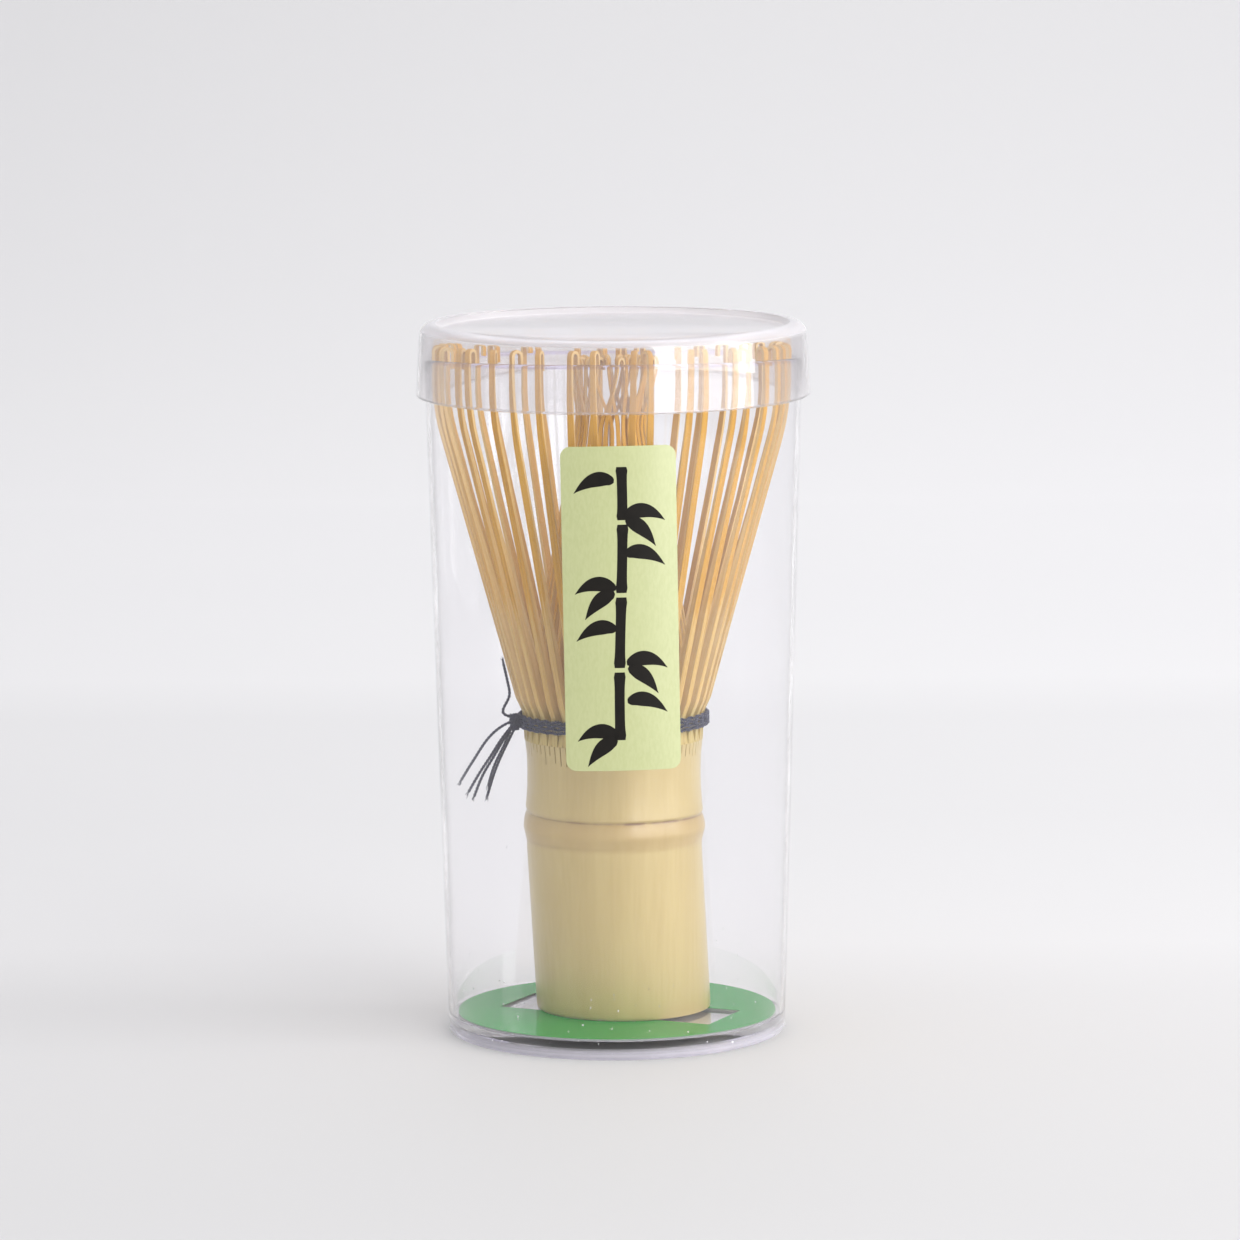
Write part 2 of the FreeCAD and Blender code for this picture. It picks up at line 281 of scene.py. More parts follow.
class Tree:
    """A material's node tree, with a short way to add nodes and link them."""

    def __init__(self, name):
        self.material = bpy.data.materials.new(name)
        self.material.use_nodes = True
        self.tree = self.material.node_tree
        self.tree.nodes.clear()

    def add(self, kind, inputs=None, **settings):
        made = self.tree.nodes.new(kind)
        for key, value in settings.items():
            setattr(made, key, value)
        for key, value in (inputs or {}).items():
            if isinstance(value, bpy.types.NodeSocket):
                self.tree.links.new(value, made.inputs[key])
            else:
                made.inputs[key].default_value = value
        return made

    def place(self, stretch):
        """Each point's place at rest in mm, stretched by a factor along each axis."""
        where = self.add("ShaderNodeTexCoord").outputs["Object"]
        scale = tuple(s / MM for s in stretch)
        return self.add("ShaderNodeMapping", {"Vector": where, "Scale": scale}).outputs[0]

    def value(self, name):
        return self.add("ShaderNodeAttribute", attribute_name=name).outputs["Fac"]

    def math(self, operation, a, b=0.0):
        return self.add("ShaderNodeMath", {0: a, 1: b}, operation=operation).outputs[0]

    def joined(self, x, y, z):
        return self.add("ShaderNodeCombineXYZ", {0: x, 1: y, 2: z}).outputs[0]

    def noise(self, vector, scale=1.0, detail=3.0, roughness=0.5):
        found = self.add("ShaderNodeTexNoise", {"Vector": vector, "Scale": scale, "Detail": detail,
                                                "Roughness": roughness})
        return found.outputs["Fac"]

    def range(self, value, low, high, to_low=0.0, to_high=1.0):
        """The value's span from low to high spread over another span, smoothly and held at its ends."""
        made = self.add("ShaderNodeMapRange", {"Value": value, "From Min": low, "From Max": high,
                                               "To Min": to_low, "To Max": to_high},
                        interpolation_type="SMOOTHSTEP")
        return made.outputs[0]

    def ramp(self, value, low, high, stops):
        """Greys that follow a value from low to high, through stops of (value, grey)."""
        share = self.add("ShaderNodeMapRange", {"Value": value, "From Min": low, "From Max": high})
        made = self.add("ShaderNodeValToRGB", {"Fac": share.outputs[0]})
        elements = made.color_ramp.elements
        while len(elements) < len(stops):
            elements.new(0.5)
        for element, (at, grey) in zip(elements, stops):
            element.position = (at - low) / (high - low)
            element.color = (grey, grey, grey, 1)
        return made.outputs["Color"]

    def mix(self, factor, a, b, blend="MIX"):
        made = self.add("ShaderNodeMix", {"Factor": factor}, data_type="RGBA", blend_type=blend)
        for index, value in ((6, a), (7, b)):
            if isinstance(value, bpy.types.NodeSocket):
                self.tree.links.new(value, made.inputs[index])
            else:
                made.inputs[index].default_value = value
        return made.outputs[2]

    def bump(self, height, strength, distance_mm):
        made = self.add("ShaderNodeBump", {"Height": height, "Strength": strength,
                                           "Distance": distance_mm * MM})
        return made.outputs[0]

    def shader(self, **inputs):
        return self.add("ShaderNodeBsdfPrincipled", inputs).outputs[0]

    def finish(self, shader):
        self.add("ShaderNodeOutputMaterial", {"Surface": shader})
        return self.material


# ---------------------------------------------------------------- materials


def clear_plastic(name, tint, haze, gloss, scuff_share, foot, rim, crown, lean):
    """Clear moulded plastic with faint flow waves and scuffs, which lets lamps reach what is inside.
    haze and scuff_share are how milky it is, all over and in its scratches, and gloss is its coat's IOR.
    It is painted lavender and milky white below the height foot, standing for the refractions in the thick
    foot ring, painted lavender above rim, standing for light that runs edge-on through the thick rim, and
    whiter above crown. Heights follow the part's lean, its rise towards +Y."""
    t = Tree(name)
    waves = t.noise(t.place((0.05, 0.05, 0.02)), detail=2)
    scratches = t.noise(t.place((1.6, 1.6, 0.5)), detail=4, roughness=0.7)
    scuffs = t.range(scratches, 0.70, 0.76, 0, scuff_share)
    apart = t.add("ShaderNodeSeparateXYZ", {0: t.place((1, 1, 1))}).outputs
    height = t.math("SUBTRACT", apart["Z"], t.math("MULTIPLY", apart["Y"], lean))
    # painted refraction: lavender and milky white below the height foot, and painted lavender above rim for
    # light run edge-on through the thick rim
    low = t.range(height, foot - 0.8, foot + 0.8, 1, 0)
    edge = t.math("MAXIMUM", low, t.range(height, rim - 0.1, rim + 0.1))
    hue = t.mix(edge, tint, (0.82, 0.77, 0.96, 1))
    glass = t.shader(**{
        "Base Color": hue, "Transmission Weight": 1.0, "IOR": 1.13,
        "Roughness": t.range(scratches, 0.5, 0.8, 0.01, 0.05), "Normal": t.bump(waves, 0.06, 2.0),
        "Coat Weight": 1.0, "Coat IOR": gloss, "Coat Roughness": 0.03})
    milky = t.add("ShaderNodeBsdfDiffuse", {"Color": colour(245, 243, 248)}).outputs[0]
    whiter_crown = t.math("MULTIPLY", t.range(height, crown, crown + 0.7), 0.24)
    nicks = t.range(t.noise(t.place((0.8, 0.8, 0.8)), detail=3, roughness=0.6), 0.70, 0.73)
    nicked = t.math("MULTIPLY", nicks, t.range(height, foot + 3, foot + 14, 0.9, 0))
    # the painted milky white of the foot, the whiter crown and the real nicks
    nicks_whiter_crown_and_painted_foot = t.math("ADD", t.math("MULTIPLY", low, 0.3), t.math("ADD", whiter_crown, nicked))
    amount = t.math("ADD", t.math("ADD", scuffs, haze), nicks_whiter_crown_and_painted_foot)
    body = t.add("ShaderNodeMixShader", {0: amount, 1: glass, 2: milky}).outputs[0]
    path = t.add("ShaderNodeLightPath").outputs
    past = t.math("MAXIMUM", path["Is Shadow Ray"], path["Is Diffuse Ray"])
    open_air = t.add("ShaderNodeBsdfTransparent", {"Color": (0.986, 0.984, 0.99, 1)}).outputs[0]
    return t.finish(t.add("ShaderNodeMixShader", {0: past, 1: body, 2: open_air}).outputs[0])


def card_material():
    """Green printed card under a varnish, with faint mottling and specks of dust."""
    t = Tree("green_card")
    mottle = t.noise(t.place((0.25, 0.25, 0.25)), detail=4)
    fibres = t.noise(t.place((3, 3, 3)), detail=3)
    dust = t.range(t.noise(t.place((2.2, 2.2, 2.2)), detail=1), 0.745, 0.77)
    green = t.mix(mottle, colour(0, 140, 44), colour(0, 152, 54))
    face = t.mix(dust, green, colour(205, 222, 205))
    return t.finish(t.shader(**{
        "Base Color": face, "Roughness": t.range(fibres, 0.3, 0.7, 0.5, 0.62), "Specular IOR Level": 0.0,
        "Coat Weight": 0.62, "Coat Roughness": 0.02, "Coat IOR": 1.45, "Normal": t.bump(fibres, 0.1, 0.02)}))


def board_material():
    """The card's bare grey-white board, seen at its cut edges and underneath."""
    t = Tree("bare_board")
    fibres = t.noise(t.place((3, 3, 3)), detail=3)
    face = t.mix(fibres, colour(128, 138, 132), colour(150, 158, 152))
    return t.finish(t.shader(**{"Base Color": face, "Roughness": t.range(fibres, 0.3, 0.7, 0.7, 0.85),
                                "Normal": t.bump(fibres, 0.2, 0.03)}))


def paper_material():
    """Pale yellow-green coated paper with a fine fibre grain."""
    t = Tree("label_paper")
    fibres = t.noise(t.place((2.5, 2.5, 0.9)), detail=4, roughness=0.6)
    cloudy = t.noise(t.place((0.12, 0.12, 0.12)), detail=3)
    base = t.mix(cloudy, colour(180, 188, 116), colour(190, 197, 128))
    face = t.mix(t.range(fibres, 0.35, 0.65, 0, 0.5), base, colour(197, 203, 140))
    return t.finish(t.shader(**{
        "Base Color": face, "Roughness": t.range(fibres, 0.3, 0.7, 0.36, 0.46),
        "Specular IOR Level": 1.0, "Coat Weight": 1.0, "Coat IOR": 2.0, "Coat Roughness": 0.32,
        "Normal": t.bump(fibres, 0.15, 0.03)}))


def ink_material():
    """Black printed ink, a little uneven, with a soft gloss."""
    t = Tree("label_ink")
    uneven = t.noise(t.place((1.1, 1.1, 0.7)), detail=4)
    face = t.mix(uneven, colour(10, 8, 5), colour(26, 21, 14))
    return t.finish(t.shader(**{
        "Base Color": face, "Roughness": t.range(uneven, 0.3, 0.7, 0.35, 0.55),
        "Specular IOR Level": 0.25, "Normal": t.bump(uneven, 0.1, 0.03)}))


def handle_material():
    """Bamboo bark: fine upright fibres, cloudy patches, a darker band over the node that is partly painted
    shade under the ridge, a painted reflection of the green card towards the foot, darker lines along the
    crease and below the ridge, painted shade in the slits and down the bore, and specks.
    """
    t = Tree("handle_bark")
    fibres = t.noise(t.place((2.6, 2.6, 0.05)), detail=4, roughness=0.6)
    broad = t.noise(t.place((0.3, 0.3, 0.03)), detail=3)
    clouds = t.noise(t.place((0.06, 0.06, 0.05)), detail=4)
    specks = t.range(t.noise(t.place((0.55, 0.55, 0.4)), detail=2), 0.76, 0.80)
    height = t.add("ShaderNodeSeparateXYZ", {0: t.place((1, 1, 1))}).outputs["Z"]
    culm = t.mix(clouds, colour(192, 167, 104), colour(205, 184, 123))
    # a darker, warmer band over the node: partly the node's own tone and partly painted shade under the
    # ridge
    node_band_with_painted_shade = t.math("MULTIPLY", t.range(height, COLLAR_HEIGHT + 0.6, COLLAR_HEIGHT + 2.0),
                     t.range(height, CREASE_HEIGHT - 0.7, CREASE_HEIGHT + 0.5, 0.45, 0))
    culm_with_node_band = t.mix(node_band_with_painted_shade, culm, colour(184, 148, 92))
    # painted reflection of the green card: darker and greener towards the foot
    base = t.mix(t.range(height, 3.0, 14.0, 0.3, 0), culm_with_node_band, colour(176, 160, 92))
    streaked = t.mix(t.range(fibres, 0.3, 0.7, 0, 0.22), base, colour(176, 149, 82))
    broader = t.mix(t.range(broad, 0.4, 0.7, 0, 0.2), streaked, colour(214, 195, 130))
    specked = t.mix(t.math("MULTIPLY", specks, 0.7), broader, colour(134, 98, 66))
    blotchy = t.range(t.noise(t.place((0.35, 0.35, 0.35)), detail=3), 0.35, 0.62, 0.35, 1)
    # darker lines along the crease and below the ridge, and painted shade in the slits and down the bore
    darkened = t.mix(t.math("MULTIPLY", t.value("crease_lines_and_painted_shade"), blotchy), specked, colour(124, 88, 62))
    return t.finish(t.shader(**{
        "Base Color": darkened, "Roughness": t.range(fibres, 0.3, 0.7, 0.38, 0.5),
        "Coat Weight": 0.9, "Coat Roughness": 0.3, "Normal": t.bump(fibres, 0.25, 0.06)}))


def strip_material(name, low_pair, high_pair, streak, roughness):
    """Split bamboo with grain along each strip: one pair of tones low down and one pair above the
    shaved part, with reddish-brown streaks."""
    t = Tree(name)
    along = t.value("along")
    own = t.value("tone")
    across = t.value("across")
    lines = t.joined(t.math("MULTIPLY", across, 5.0), t.math("MULTIPLY", own, 57.0),
                     t.math("MULTIPLY", along, 0.07))
    patches = t.joined(t.math("MULTIPLY", across, 0.7), t.math("MULTIPLY", own, 31.0),
                       t.math("MULTIPLY", along, 0.11))
    grain = t.noise(lines, detail=4, roughness=0.6)
    patch = t.noise(patches, detail=3)
    ragged = t.noise(lines, scale=2.0, detail=2)
    edge = t.math("ADD", along, t.range(ragged, 0.3, 0.7, -3.0, 3.0))
    own_edge = t.math("ADD", edge, t.math("MULTIPLY", own, 3.0))
    limit = BARK_LIMIT - ROOT_Z
    above = t.range(own_edge, limit - 1.5, limit + 3.5)
    tone = t.math("MULTIPLY", t.math("ADD", own, patch), 0.5)
    low_tone = t.mix(tone, *low_pair)
    high_tone = t.mix(tone, *high_pair)
    slit_end = t.math("ADD", along, t.range(own, 0.0, 1.0, -0.8, 0.8))
    rooted = t.mix(t.range(slit_end, 3.4, 7.0), colour(204, 184, 118), low_tone)
    base = t.mix(above, rooted, high_tone)
    grained = t.mix(t.range(grain, 0.35, 0.75, 0, 0.45), base, streak)
    darkened = t.mix(t.range(patch, 0.66, 0.78, 0, 0.55), grained, colour(150, 92, 44))
    return t.finish(t.shader(**{
        "Base Color": darkened, "Roughness": t.range(grain, 0.3, 0.7, roughness, roughness + 0.12),
        "Specular IOR Level": 0.35, "Normal": t.bump(grain, 0.3, 0.04)}))


def thread_material():
    """Dark navy cotton thread with a dusty sheen and fine fibres."""
    t = Tree("navy_thread")
    fibres = t.noise(t.place((9, 9, 9)), detail=3)
    patches = t.noise(t.place((0.5, 0.5, 0.5)), detail=2)
    deep = t.mix(patches, colour(32, 34, 54), colour(50, 52, 76))
    face = t.mix(t.range(fibres, 0.5, 0.75, 0, 0.5), deep, colour(104, 106, 130))
    return t.finish(t.shader(**{
        "Base Color": face, "Roughness": t.range(fibres, 0.3, 0.7, 0.75, 0.9), "Sheen Weight": 0.6,
        "Sheen Roughness": 0.5, "Sheen Tint": colour(180, 182, 205),
        "Normal": t.bump(fibres, 0.5, 0.05)}))


def floor_material():
    """Matt white table whose colour carries painted light and shade: paler behind the case and on the right
    towards the softbox, darker towards the front with a painted soft shadow step beside the case, and darker
    again up the backdrop.
    """
    t = Tree("pale_table")
    where = t.add("ShaderNodeTexCoord").outputs["Object"]
    apart = t.add("ShaderNodeSeparateXYZ", {0: where}).outputs
    mottle = t.noise(where, scale=3.0, detail=3)
    # painted light and shade along the table: darker towards the front with a painted soft shadow step
    # beside the case, paler behind it, darker up the backdrop
    depth = t.ramp(apart["Y"], -0.3, 1.7, [
        (-0.12, 0.705), (-0.03, 0.735), (0.03, 0.765), (0.075, 0.81), (0.23, 0.80), (0.40, 0.825),
        (0.485, 0.885), (1.12, 0.93), (1.43, 0.805), (1.6, 0.745)])
    # painted light from the softbox on the right: paler to the right, darker to the left
    sides = t.ramp(apart["X"], -0.4, 0.4, [(-0.3, 0.955), (-0.12, 0.985), (0.12, 1.02), (0.3, 1.035)])
    hue = t.mix(mottle, (0.992, 0.985, 1.0, 1), (1.0, 0.995, 1.0, 1))
    face = t.mix(1.0, t.mix(1.0, depth, sides, "MULTIPLY"), hue, "MULTIPLY")
    return t.finish(t.shader(**{"Base Color": face, "Roughness": t.range(mottle, 0.2, 0.8, 0.55, 0.65),
                                "Specular IOR Level": 0.3}))


# a height above the whole case, for an effect of clear_plastic that the part does not have
NOWHERE = 200.0

TUBE_PLASTIC = clear_plastic("clear_tube", (0.993, 0.990, 0.999, 1), haze=0.006, gloss=1.5,
                             scuff_share=0.25, foot=1.6, rim=109.5, crown=NOWHERE, lean=0.0)
LID_PLASTIC = clear_plastic("clear_lid", (0.905, 0.888, 0.897, 1), haze=0.03, gloss=1.85,
                            scuff_share=0.3, foot=0.0, rim=NOWHERE, crown=LID_TOP - 1.9,
                            lean=math.sin(LID_TILT))
CARD = card_material()
BOARD = board_material()
PAPER = paper_material()
INK = ink_material()
HANDLE = handle_material()
BARK = strip_material("strip_bark", (colour(226, 192, 122), colour(212, 174, 98)),
                      (colour(224, 170, 58), colour(206, 150, 42)), colour(156, 102, 34), 0.34)
CUT = strip_material("strip_cut_side", (colour(238, 212, 162), colour(226, 196, 138)),
                     (colour(238, 206, 144), colour(224, 188, 118)), colour(190, 146, 80), 0.5)
PITH = strip_material("strip_pith", (colour(224, 188, 134), colour(208, 168, 110)),
                      (colour(222, 182, 116), colour(206, 162, 92)), colour(170, 120, 60), 0.55)
THREAD = thread_material()

# ---------------------------------------------------------------- the case


def build_tube():
    rim = CASE_HEIGHT - WALL / 2
    rim_middle = case_radius(rim) - WALL / 2
    fillet_z = FLOOR_TOP + FLOOR_FILLET
    wall_inner = case_radius(fillet_z) - WALL
    profile = [(0, FOOT_RECESS)]
    profile += [(FOOT_RING_INNER - 0.25, FOOT_RECESS), (FOOT_RING_INNER, FOOT_RECESS - 0.25)]
    profile += arc((FOOT_RING_INNER + 0.3, 0.3), 0.3, 180, 270, 4)
    profile += arc((FOOT_RADIUS - FOOT_CORNER, FOOT_CORNER), FOOT_CORNER, 270, 360, 8)
    for z in np.linspace(6, rim - 4, 12):
        profile.append((case_radius(z), z))
    profile += arc((rim_middle, rim), WALL / 2, 0, 180, 8)
    for z in np.linspace(rim - 4, fillet_z + 4, 12):
        profile.append((case_radius(z) - WALL, z))
    profile += arc((wall_inner - FLOOR_FILLET, fillet_z), FLOOR_FILLET, 0, -90, 6)
    profile.append((0, FLOOR_TOP))
    points, faces = lathe(profile)
    made = make_object("clear_cup", points, faces, [TUBE_PLASTIC])
    return place(made, "case", "clear_plastic", "case_tube")


def build_lid():
    top, bottom, outer = LID_TOP, LID_BOTTOM, LID_RADIUS
    ring_outer = LID_SHOULDER_RADIUS - LID_CORNER
    shoulder = top - LID_CORNER
    panel = top - PANEL_SINK
    profile = [(0, panel - PANEL_THICKNESS), (PANEL_RADIUS - 0.9, panel - PANEL_THICKNESS)]
    profile += arc((PANEL_RADIUS - 0.9, panel - PANEL_THICKNESS + 0.5), 0.5, -90, -20, 4)
    profile += arc((PANEL_RADIUS + 0.7, top - WALL - 0.5), 0.5, 160, 90, 4)
    profile += arc((ring_outer, shoulder), LID_CORNER - WALL, 90, 0, 8)
    profile.append((outer - WALL, bottom + 0.25))
    profile += arc((outer - WALL / 2, bottom + WALL / 2), WALL / 2, 180, 360, 8)
    profile += arc((ring_outer, shoulder), LID_CORNER, 0, 90, 12)
    profile += arc((PANEL_RADIUS + 0.9, top - 0.4), 0.4, 90, 165, 4)
    profile += arc((PANEL_RADIUS - 0.4, panel + 0.5), 0.5, -20, -90, 4)
    profile.append((0, panel))
    points, faces = lathe(profile)
    pivot = Vector((0, 0, CASE_HEIGHT))
    askew = Matrix.Rotation(LID_TILT, 3, "X")
    points = [tuple(askew @ (Vector(p) - pivot) + pivot) for p in points]
    made = make_object("clear_lid", points, faces, [LID_PLASTIC])
    return place(made, "lid", "clear_plastic", "case_lid")


def window_reach(angle):
    """How far the window's edge lies from its centre in a direction."""
    turned = angle - WINDOW_TURN
    along = abs(math.cos(turned)) / (WINDOW_LENGTH / 2)
    across = abs(math.sin(turned)) / (WINDOW_WIDTH / 2)
    return 1 / max(along, across)


def disc_reach(angle):
    """How far the card's edge lies from the window's centre in a direction."""
    cx, cy = WINDOW_CENTRE
    ahead = cx * math.cos(angle) + cy * math.sin(angle)
    return -ahead + math.sqrt(ahead ** 2 + CARD_RADIUS ** 2 - cx ** 2 - cy ** 2)


def build_card():
    """A disc with a rectangular window, its cut edges a little rounded by the die."""
    corner = math.atan2(WINDOW_WIDTH, WINDOW_LENGTH)
    corners = [WINDOW_TURN + a for a in (corner, math.pi - corner, math.pi + corner, -corner)]
    angles = sorted({round(a % (2 * math.pi), 6) for a in
                     [*corners, *(2 * math.pi * k / 360 for k in range(360))]})
    low, high = CARD_LOW.z + 0.01, CARD_HIGH.z
    edge = 0.06
    loop = [(1.0, 0.0, low), (1.0, 0.0, high - edge), (1.0, -edge, high), (0.0, edge, high),
            (0.0, 0.0, high - edge), (0.0, 0.0, low)]
    rings = []
    for angle in angles:
        inner, outer = window_reach(angle), disc_reach(angle)
        ring = []
        for share, shift, z in loop:
            reach = inner + (outer - inner) * share + shift
            ring.append((WINDOW_CENTRE[0] + reach * math.cos(angle),
                         WINDOW_CENTRE[1] + reach * math.sin(angle), z))
        rings.append(ring)
    points = [p for ring in rings for p in ring]
    count = len(loop)
    faces, printed = [], []
    for k in range(len(rings)):
        here, there = k * count, (k + 1) % len(rings) * count
        for j in range(count):
            after = (j + 1) % count
            faces.append((here + j, here + after, there + after, there + j))
            printed.append(0 if j in (1, 2, 3) else 1)
    made = make_object("printed_card", points, faces, [CARD, BOARD], printed)
    return place(made, "case", "card", "base_card")


# ---------------------------------------------------------------- the label


def on_case(across, up, lift):
    """A point of the label, across and up from its middle in mm, lifted off the case's wall."""
    x = across * math.cos(LABEL_TILT) - up * math.sin(LABEL_TILT)
    z = LABEL_MIDDLE + up * math.cos(LABEL_TILT) + across * math.sin(LABEL_TILT)
    radius = case_radius(z) + lift
    angle = LABEL_ANGLE + math.asin(x / radius)
    return (radius * math.sin(angle), -radius * math.cos(angle), z)


def build_label():
    bottom, top = -LABEL_HEIGHT / 2, LABEL_HEIGHT / 2
    heights = [bottom + LABEL_CORNER * (1 - math.cos(a)) for a in np.linspace(0, math.pi / 2, 9)]
    heights += list(np.linspace(bottom + LABEL_CORNER, top - LABEL_CORNER, 50))[1:-1]
    heights += [top - LABEL_CORNER * (1 - math.cos(a)) for a in np.linspace(math.pi / 2, 0, 9)]
    shares = np.linspace(-1, 1, 37)
    rings = []
    for z in heights:
        into = max(0.0, bottom + LABEL_CORNER - z, z - top + LABEL_CORNER)
        cut = LABEL_CORNER - math.sqrt(max(0.0, LABEL_CORNER ** 2 - into ** 2))
        half = LABEL_WIDTH / 2 - cut
        front = [on_case(half * s, z, LABEL_THICKNESS) for s in shares]
        back = [on_case(half * s, z, 0.01) for s in reversed(shares)]
        rings.append(front + back)
    points, faces = tube_rings(rings)
    made = make_object("paper_label", points, faces, [PAPER])
    return place(made, "case", "label", "front_label")


def brush_stroke(route, width, swell):
    """One inked stroke on the label along a bent route: fullest at swell of its length and pointed at
    its end. The route is three points, across and up from the label's middle."""
    start, bend, end = (np.array(p, float) for p in route)
    rings = []
    steps = 26
    for k in range(steps + 1):
        t = k / steps
        at = (1 - t) ** 2 * start + 2 * t * (1 - t) * bend + t ** 2 * end
        ahead = 2 * (1 - t) * (bend - start) + 2 * t * (end - bend)
        side = np.array([-ahead[1], ahead[0]]) / np.linalg.norm(ahead)
        blunt = min(1.0, math.sqrt(max(t, 0.0) * 14) + 0.12)
        body = math.sin(math.pi * (0.5 * t / swell if t < swell else 0.5 + 0.5 * (t - swell) / (1 - swell)))
        half = width / 2 * max(0.03, blunt * (0.45 + 0.55 * body) if t < swell else body)
        face = [at + side * half * s for s in np.linspace(-1, 1, 7)]
        front = [on_case(p[0], p[1], LABEL_THICKNESS + INK_LIFT) for p in face]
        back = [on_case(p[0], p[1], LABEL_THICKNESS - INK_LIFT) for p in reversed(face)]
        rings.append(front + back)
    return tube_rings(rings)


def stalk_piece(low, high, lean):
    """One length of the drawn stalk between two joints, wider at its ends."""
    rings = []
    for t in np.linspace(0, 1, 15):
        up = low + (high - low) * t
        x = lean * math.sin(up * 0.09)
        half = 0.78 + 0.3 * abs(2 * t - 1) ** 5 - 0.3 * (abs(2 * t - 1) > 0.99)
        front = [on_case(x + half * s, up, LABEL_THICKNESS + INK_LIFT) for s in np.linspace(-1, 1, 7)]
        back = [on_case(x + half * s, up, LABEL_THICKNESS - INK_LIFT) for s in np.linspace(1, -1, 7)]
        rings.append(front + back)
    return tube_rings(rings)


def build_print():
    """A plain drawing of a bamboo stalk with leaves, in place of the real label's writing."""
    joints = [-21.0, -9.6, 2.2, 13.6, 22.6]
    parts = [stalk_piece(low + 0.35, high - 0.35, 0.5) for low, high in zip(joints, joints[1:])]
    for k, z in enumerate(joints[:-1]):
        hand = 1 if k % 2 else -1
        base = z + 0.8
        leaves = [((0.8 * hand, base), (3.6 * hand, base + 2.3), (7.1 * hand, base - 0.6)),
                  ((0.9 * hand, base - 0.6), (3.2 * hand, base - 0.6), (5.6 * hand, base - 4.6)),
                  ((-0.8 * hand, base + 5.4), (-3.4 * hand, base + 7.2), (-7.0 * hand, base + 3.8))]
        parts += [brush_stroke(leaf, 2.3, 0.42) for leaf in leaves]
    points, faces = joined(parts)
    made = make_object("label_drawing", points, faces, [INK])
    return place(made, "case", "label")


# ---------------------------------------------------------------- the handle


def axis_shift(z):
    """How far the handle's slanting lower part stands to the right of the whisk's axis, and behind it."""
    share = max(0.0, (COLLAR_HEIGHT - z) / (COLLAR_HEIGHT - HANDLE_LOW.z))
    return FOOT_SHIFT[0] * share, FOOT_SHIFT[1] * share


def bump_at(value, centre, width):
    return math.exp(-((value - centre) / width) ** 2)


def bark_radius(z, angle):
    """The handle's outside: straight up to the collar, then a swollen node with a crease above it and a
    waist, with uneven growth all the way."""
    heights = [COLLAR_HEIGHT, 31.2, RIDGE_HEIGHT, 34.6, CREASE_HEIGHT - 0.45, CREASE_HEIGHT,
               CREASE_HEIGHT + 0.45, 37.6, 40.0, WAIST_HEIGHT, 45.5, HANDLE_HIGH.z]
    radii = [LOWER_RADIUS, 14.36, RIDGE_RADIUS, 14.78, ROOT_RADIUS, CREASE_RADIUS,
             ROOT_RADIUS, 14.42, 14.24, WAIST_RADIUS, 14.28, ROOT_RADIUS]
    base = np.interp(z, heights, radii)
    oval = 0.05 * math.cos(2 * angle + 0.7) + 0.03 * math.cos(3 * angle + 2.0)
    knobbly = 0.05 * math.sin(5 * angle + 1.1) * bump_at(z, RIDGE_HEIGHT, 1.5)
    return base + oval + knobbly


def crease_height(angle):
    """The crease wanders a little up and down round the stalk, and is highest at its back left."""
    return CREASE_HEIGHT + 0.25 - 0.4 * math.cos(angle) - 0.4 * math.sin(angle) + 0.08 * math.sin(3 * angle)


